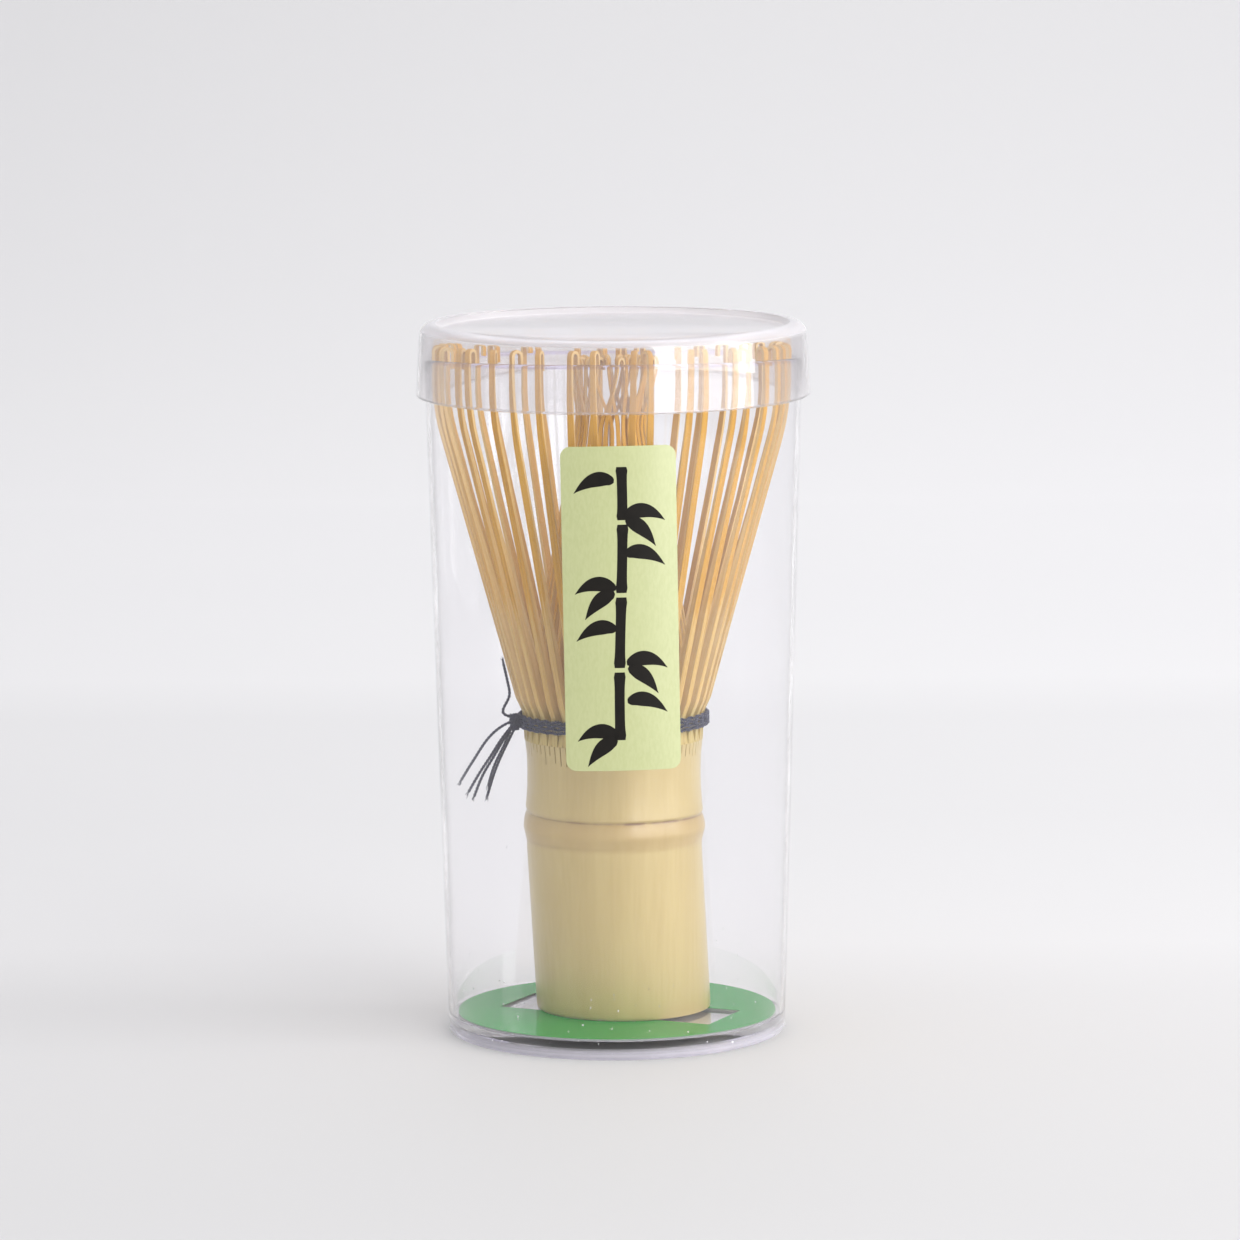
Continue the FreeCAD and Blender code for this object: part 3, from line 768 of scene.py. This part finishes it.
def build_handle():
    """The culm: solid rings from the bore's end, round the foot, up the bark and down into the hollow."""
    rng = random.Random(5)
    slit_count = 2 * PAIRS
    segments = SLIT_STEPS * slit_count
    slit_depth = [rng.uniform(1.1, 3.1) for _ in range(slit_count)]
    low, high = HANDLE_LOW.z, HANDLE_HIGH.z
    edge = 0.3
    levels = list(np.linspace(low + 2 * edge, COLLAR_HEIGHT, 18))
    levels += list(np.linspace(COLLAR_HEIGHT, CREASE_HEIGHT - 0.5, 14))[1:]
    levels += list(np.linspace(CREASE_HEIGHT - 0.5, CREASE_HEIGHT + 0.5, 9))[1:]
    levels += list(np.linspace(CREASE_HEIGHT + 0.5, high - 3.4, 14))[1:]
    levels += list(np.linspace(high - 3.4, high, 16))[1:]
    points = [(WHISK_X, 0, DIAPHRAGM_BOTTOM)]
    shade_and_crease_values = [0.3]
    turns = [2 * math.pi * k / segments for k in range(segments)]
    # each ring is a radius or None for the bark, a height and a share of painted shade, deepest near the
    # diaphragm inside the hollow
    rings = [(LOWER_BORE - 1.0, DIAPHRAGM_BOTTOM, 0.3), (LOWER_BORE, DIAPHRAGM_BOTTOM - 0.8, 0.2),
             (LOWER_BORE, low + edge, 0.1), (LOWER_BORE + edge, low, 0.0),
             (LOWER_RADIUS - edge, low, 0.0), (LOWER_RADIUS - 0.09, low + edge * 0.4, 0.0)]
    rings += [(None, z, 0.0) for z in levels]
    rings += [(UPPER_BORE, high, 0.1), (UPPER_BORE, DIAPHRAGM_TOP + 0.5, 0.3),
              (UPPER_BORE - 0.8, DIAPHRAGM_TOP, 0.3)]
    for radius, z, crease_lines_and_painted_shade in rings:
        right, back = axis_shift(z)
        for k, angle in enumerate(turns):
            r, dark = radius, crease_lines_and_painted_shade
            if radius is None:
                slit, beside = divmod(k, SLIT_STEPS)
                in_slit = beside == 0 and z > high - slit_depth[slit]
                moved = z - 0.6 * (crease_height(angle) - CREASE_HEIGHT) * bump_at(z, CREASE_HEIGHT, 3)
                r = bark_radius(moved, angle) - (0.5 if in_slit else 0.0)
                # darker lines along the crease and below the ridge; the slits get painted shade
                line = bump_at(moved, CREASE_HEIGHT, 0.17) * (0.66 + 0.3 * math.sin(2 * angle + 1))
                halo = 0.16 * bump_at(moved, CREASE_HEIGHT - 0.2, 0.8)
                second = 0.22 * bump_at(moved, RIDGE_HEIGHT - 1.9, 0.25) * max(0, math.sin(2 * angle + 3))
                dark = min(1.0, line + halo + second + (0.9 if in_slit else 0.0))
            points.append((WHISK_X + right + r * math.sin(angle), back - r * math.cos(angle), z))
            shade_and_crease_values.append(dark)
    points.append((WHISK_X, 0, DIAPHRAGM_TOP))
    shade_and_crease_values.append(0.3)
    faces = []
    last = len(points) - 1
    for k in range(segments):
        after = (k + 1) % segments
        faces.append((0, 1 + k, 1 + after))
        for ring in range(len(rings) - 1):
            here = 1 + ring * segments
            there = here + segments
            faces.append((here + k, here + after, there + after, there + k))
        top = 1 + (len(rings) - 1) * segments
        faces.append((top + k, top + after, last))
    made = make_object("bamboo_handle", points, faces, [HANDLE], crease_deg=50)
    add_values(made, "crease_lines_and_painted_shade", shade_and_crease_values)
    return place(made, "whisk", "handle_bamboo", "whisk_handle")


# ---------------------------------------------------------------- the strips


def root_angle(i):
    return FIRST_ANGLE + PITCH_DEG * i


def sideways(i):
    """How far round the outer strip's top stands from its root, in degrees."""
    pairing = 2.1 * math.sin(2.81 * i + 2.41)
    drift = 2.19 * math.sin(0.38 * i + 5.32)
    return pairing + drift - 2.41 * math.sin(math.radians(root_angle(i)))


def smooth_step(low, high, value):
    t = np.clip((value - low) / (high - low), 0, 1)
    return t * t * (3 - 2 * t)


def strip_rings(path, widths, depths, angle_deg, lean, twist, twist_from):
    """Rings of section points round one strip, in the whisk's frame.
    path is the bark side as (radius, height) and lean the sideways shift of its top in mm. Above the
    height twist_from the strip turns about its own upright line, by twist where it curls over."""
    angle = math.radians(angle_deg)
    outward = np.array([math.sin(angle), -math.cos(angle), 0])
    along_round = np.array([math.cos(angle), math.sin(angle), 0])
    up = np.array([0, 0, 1.0])
    tangents = np.gradient(path, axis=0)
    tangents /= np.linalg.norm(tangents, axis=1)[:, None]
    upright = path[:, 0].max()
    rings = []
    turn_share = smooth_step(twist_from, path[:, 1].max() - 1, path[:, 1])
    over_top = np.maximum.accumulate(turn_share)
    for k, (r, z) in enumerate(path):
        spin = twist * over_top[k]
        out = outward * math.cos(spin) + along_round * math.sin(spin)
        round_about = along_round * math.cos(spin) - outward * math.sin(spin)
        slope = (z - path[0, 1]) / (path[:, 1].max() - path[0, 1])
        hook_in = r - upright if k > len(path) // 2 else 0.0
        base = outward * (r - hook_in) + out * hook_in + along_round * lean * slope
        base = base + up * z + np.array([WHISK_X, 0, 0])
        normal = out * tangents[k, 1] - up * tangents[k, 0]
        half, depth = widths[k] / 2, depths[k]
        bevel = min(0.05, half * 0.4)
        inner_half = half * max(0.6, 1 - depth / max(r, 6))
        section = [(-half, -bevel), (-half + bevel, 0), (0, 0.03), (half - bevel, 0), (half, -bevel),
                   (inner_half, -depth), (-inner_half, -depth)]
        rings.append([base + round_about * a + normal * d for a, d in section])
    return rings


def strip_parts(rings, lengths, tone):
    """One strip's points, faces, material slots and the values its material reads."""
    points, faces = tube_rings(rings)
    count = len(rings[0])
    slots = []
    for _ in range(len(rings) - 1):
        slots += [0, 0, 0, 0, 1, 2, 1]
    slots += [1, 1]
    across = [0.0, 0.2, 0.5, 0.8, 1.0, 1.4, -0.4] * len(rings)
    along = [length for length in lengths for _ in range(count)]
    return points, faces, slots, along, across, [tone] * len(points)


def strip_object(name, strips, slot, *nodes):
    """One object of one or more strips, with its grain values."""
    points, faces, slots, along, across, tones = [], [], [], [], [], []
    for strip in strips:
        shift = len(points)
        points += strip[0]
        faces += [tuple(i + shift for i in face) for face in strip[1]]
        slots += strip[2]
        along += strip[3]
        across += strip[4]
        tones += strip[5]
    made = make_object(name, points, faces, [BARK, CUT, PITH], slots, crease_deg=30)
    add_values(made, "along", along)
    add_values(made, "across", across)
    add_values(made, "tone", tones)
    return place(made, "whisk", slot, *nodes)


def outer_path(drop):
    """The outer strip's bark side: up past the thread, slanting out, upright, and curled over."""
    tip = TINE_RADIUS - 2 * HOOK_RADIUS
    corners = [(ROOT_RADIUS, ROOT_Z), (14.8, 52.4), (15.95, 54.9), (TINE_RADIUS, 101.8),
               (TINE_RADIUS, TINE_TOP), (tip, TINE_TOP), (tip, TINE_TOP - drop)]
    return resampled(rounded(corners, [4, 3, 34, HOOK_RADIUS - 0.01, HOOK_RADIUS - 0.01]), 0.25)


def inner_path(drop):
    """The inner strip's bark side: bent in above the thread and gathered near the axis."""
    tip = INNER_TINE_RADIUS - 1.9
    corners = [(ROOT_RADIUS, ROOT_Z), (14.2, 50.0), (12.9, 54.0), (12.35, 65.0),
               (INNER_TINE_RADIUS, 99.5), (INNER_TINE_RADIUS, INNER_TOP), (tip, INNER_TOP),
               (tip, INNER_TOP - drop)]
    return resampled(rounded(corners, [4, 15, 30, 20, 0.94, 0.94]), 0.3)


def build_outer_strips():
    rng = random.Random(11)
    for i in range(PAIRS):
        path, lengths = outer_path(rng.uniform(2.2, 3.6))
        tip_width = rng.uniform(0.84, 0.94)
        widths = np.interp(lengths, [0, 2, 5, 28, 48, 62], [1.12, 1.1, 1.02, 1.2, 1.18, tip_width])
        depths = np.interp(lengths, [0, 3, 10, 40, 66], [2.35, 2.1, 1.5, 0.6, 0.5])
        twist = math.radians(rng.uniform(-32, 32))
        lean = math.radians(sideways(i)) * TINE_RADIUS
        rings = strip_rings(path, widths, depths, root_angle(i), lean, twist, OUTER_CURL_FROM)
        strip = strip_parts(rings, lengths, rng.random())
        node = f"outer_tine_{i + 1:02d}"
        strip_object(f"outer_strip_{i + 1:02d}", [strip], "outer_bamboo", node)


def build_inner_strips():
    rng = random.Random(23)
    groups = ["inner_tines_back_left", "inner_tines_front_left", "inner_tines_front_right",
              "inner_tines_back_right"]
    share = PAIRS // len(groups)
    for g, node in enumerate(groups):
        strips = []
        for i in range(g * share, (g + 1) * share):
            path, lengths = inner_path(rng.uniform(1.6, 2.6))
            path = path + np.array([1.0, 0.0]) * (rng.uniform(-0.25, 0.25) * lengths / lengths[-1])[:, None]
            widths = np.interp(lengths, [0, 2, 5, 52, 61, 63], [0.96, 0.92, 0.74, 0.62, 0.48, 0.4])
            depths = np.interp(lengths, [0, 3, 8, 18, 50], [2.4, 2.0, 1.1, 0.8, 0.45])
            twist = math.radians(rng.uniform(-25, 25))
            angle = root_angle(i) + PITCH_DEG / 2
            lean = rng.uniform(-0.2, 0.2)
            rings = strip_rings(path, widths, depths, angle, lean, twist, INNER_CURL_FROM)
            strips.append(strip_parts(rings, lengths, rng.random()))
        strip_object(node.replace("tines", "strips"), strips, "inner_bamboo", node)


# ---------------------------------------------------------------- the thread


def spline(points, step):
    """A smooth line near the given points, from the first to the last, with points at even steps."""
    padded = [points[0], points[0], *points, points[-1], points[-1]]
    line = []
    for a, b, c, d in zip(padded, padded[1:], padded[2:], padded[3:]):
        a, b, c, d = (np.array(p, float) for p in (a, b, c, d))
        for t in np.linspace(0, 1, 9)[:-1]:
            line.append(((1 - t) ** 3 * a + (3 * t ** 3 - 6 * t ** 2 + 4) * b
                         + (-3 * t ** 3 + 3 * t ** 2 + 3 * t + 1) * c + t ** 3 * d) / 6)
    line.append(np.array(points[-1], float))
    kept = [line[0]]
    for p in line[1:]:
        if np.linalg.norm(p - kept[-1]) > 1e-4:
            kept.append(p)
    return resampled(np.array(kept), step)[0]


def twisted(path, radius, pitch, plies=2, sides=7):
    """A thread of twisted plies along a path, as one (points, faces) pair."""
    tangents = np.gradient(path, axis=0)
    tangents /= np.linalg.norm(tangents, axis=1)[:, None]
    normal = np.cross(tangents[0], [0.3, 0.5, 0.81])
    normal /= np.linalg.norm(normal)
    frames = []
    for tangent in tangents:
        normal = normal - tangent * (normal @ tangent)
        normal /= np.linalg.norm(normal)
        frames.append((normal, np.cross(tangent, normal)))
    lengths = np.concatenate([[0], np.cumsum(np.linalg.norm(np.diff(path, axis=0), axis=1))])
    ply = radius * 0.56
    parts = []
    for p in range(plies):
        rings = []
        for at, (n, b), length in zip(path, frames, lengths):
            turn = 2 * math.pi * (length / pitch + p / plies)
            centre = at + (n * math.cos(turn) + b * math.sin(turn)) * (radius - ply)
            rings.append([centre + (n * math.cos(a) + b * math.sin(a)) * ply
                          for a in (2 * math.pi * k / sides for k in range(sides))])
        parts.append(tube_rings(rings))
    return joined(parts)


def build_band():
    """Turns of thread woven round the strips: standing out over each outer strip and sinking between."""
    lowest = BAND_MIDDLE - BAND_PITCH * (BAND_TURNS - 1) / 2
    rng = random.Random(3)
    line = []
    steps = 1440
    for turn in range(BAND_TURNS):
        ripple = [rng.uniform(-0.05, 0.05) for _ in range(PAIRS + 1)]
        way = -1 if turn < BAND_TURNS / 2 else 1
        for k in range(steps):
            share = k / steps
            angle = math.radians(FIRST_ANGLE + 360 * share)
            over = math.cos(2 * math.pi * share * PAIRS)
            z = lowest + BAND_PITCH * (turn + share * 0.98) - 0.24
            z += 0.10 * way * -over + ripple[round(share * PAIRS)]
            r = BAND_RADIUS + 0.12 + 0.13 * over
            line.append((WHISK_X + r * math.sin(angle), -r * math.cos(angle), z))
    points, faces = twisted(np.array(line), 0.3, 1.0, sides=6)
    made = make_object("woven_thread", points, faces, [THREAD], crease_deg=80)
    return place(made, "whisk", "thread", "binding_thread")


def build_knot():
    """Two small trefoil loops of thread, one in the other, beside the band."""
    parts = []
    for tilt, size in ((0.0, 0.25), (1.1, 0.2)):
        line = []
        for t in np.linspace(0, 2 * math.pi, 160):
            x = math.sin(t) + 2 * math.sin(2 * t)
            y = math.cos(t) - 2 * math.cos(2 * t)
            spun = Matrix.Rotation(tilt, 3, "Z") @ Vector((x * size, y * size, -1.15 * math.sin(3 * t)))
            line.append(tuple(KNOT_CENTRE + spun))
        parts.append(twisted(np.array(line), 0.26, 1.1))
    points, faces = joined(parts)
    made = make_object("tied_knot", points, faces, [THREAD], crease_deg=80)
    return place(made, "whisk", "thread", "thread_knot")


def build_thread_ends():
    """The thread's loose ends, each with its last bit frayed into fine hairs."""
    rng = random.Random(17)
    for name, route in THREAD_ENDS.items():
        path = spline(route, 0.12)
        parts = [twisted(path, 0.27, 1.15)]
        ahead = path[-1] - path[-6]
        ahead /= np.linalg.norm(ahead)
        for _ in range(9):
            spread = np.array([rng.uniform(-1, 1) for _ in range(3)])
            reach = rng.uniform(0.35, 0.85)
            hair = [path[-1] - ahead * 0.3, path[-1] + spread * 0.1,
                    path[-1] + ahead * reach * 0.6 + spread * 0.22, path[-1] + ahead * reach + spread * 0.3]
            parts.append(twisted(spline(hair, 0.15), 0.07, 0.9, plies=1, sides=5))
        points, faces = joined(parts)
        made = make_object(f"frayed_end_{name}", points, faces, [THREAD], crease_deg=80)
        place(made, "whisk", "thread", f"thread_end_{name}")


# ---------------------------------------------------------------- stage, lights and camera


def build_stage():
    """A table that sweeps up into a backdrop, in metres, just under the case's foot."""
    bend = 0.6
    start = 1.1
    gap = 0.02 * MM
    profile = [(-2.4, 0.0), (-1.2, 0.0), (0.0, 0.0), (0.6, 0.0)]
    for a in np.linspace(0, math.pi / 2, 24):
        profile.append((start + bend * math.sin(a), bend * (1 - math.cos(a))))
    profile.append((start + bend, 2.2))
    points, faces = [], []
    half = 2.6
    for y, z in profile:
        points += [(side / MM, y / MM, (z - gap) / MM) for side in (-half, half)]
    for k in range(len(profile) - 1):
        faces.append((2 * k, 2 * k + 1, 2 * k + 3, 2 * k + 2))
    table = make_object("table", points, faces, [floor_material()])


def add_light(name, size, power, place_at, aim, tint):
    data = bpy.data.lights.new(name, "AREA")
    data.shape = "RECTANGLE"
    data.size, data.size_y = size
    data.energy = power
    data.color = tint
    lamp = bpy.data.objects.new(name, data)
    lamp.location = place_at
    direction = Vector(aim) - Vector(place_at)
    lamp.rotation_euler = direction.to_track_quat("-Z", "Y").to_euler()
    scene.collection.objects.link(lamp)


def build_lights():
    world = bpy.data.worlds.new("studio")
    world.use_nodes = True
    world.node_tree.nodes["Background"].inputs["Color"].default_value = (0.98, 0.98, 1.0, 1)
    world.node_tree.nodes["Background"].inputs["Strength"].default_value = 0.86
    scene.world = world
    # a tall softbox on the right, brighter along its two upright sides
    for name, azimuth, width, power in (("softbox_near", 34, 0.335, 3.5), ("softbox", 60, 0.545, 3.7),
                                        ("softbox_far", 83, 0.235, 2.65)):
        turn = math.radians(azimuth)
        away = (0.95 * math.sin(turn), -0.95 * math.cos(turn), 0.6)
        add_light(name, (width, 1.15), power, away, (0, 0, 0.6), (1.0, 0.990, 0.972))
    add_light("backdrop_lamp", (1.6, 0.8), 2.0, (0, 1.2, 1.3), (0, 1, 0), (1.0, 0.995, 0.99))


def build_camera():
    """A long lens in front of the case, a little above the lid, looking slightly down."""
    pitch, roll = math.radians(6.011), math.radians(-0.340)
    right = Vector((1, 0, 0))
    above = Vector((0, math.sin(pitch), math.cos(pitch)))
    ahead = Vector((0, math.cos(pitch), -math.sin(pitch)))
    rolled_right = math.cos(roll) * right + math.sin(roll) * above
    rolled_up = -math.sin(roll) * right + math.cos(roll) * above
    data = bpy.data.cameras.new("camera")
    data.lens = 123.73
    data.sensor_width = 36
    camera = bpy.data.objects.new("camera", data)
    turn = Matrix((rolled_right, rolled_up, -ahead)).transposed()
    camera.matrix_world = Matrix.Translation((0.000858, -0.690472, 0.139997)) @ turn.to_4x4()
    scene.collection.objects.link(camera)
    scene.camera = camera
    scene.view_settings.view_transform = "Standard"


build_tube()
build_lid()
build_card()
build_label()
build_print()
build_handle()
build_outer_strips()
build_inner_strips()
build_band()
build_knot()
build_thread_ends()
build_stage()
build_lights()
build_camera()
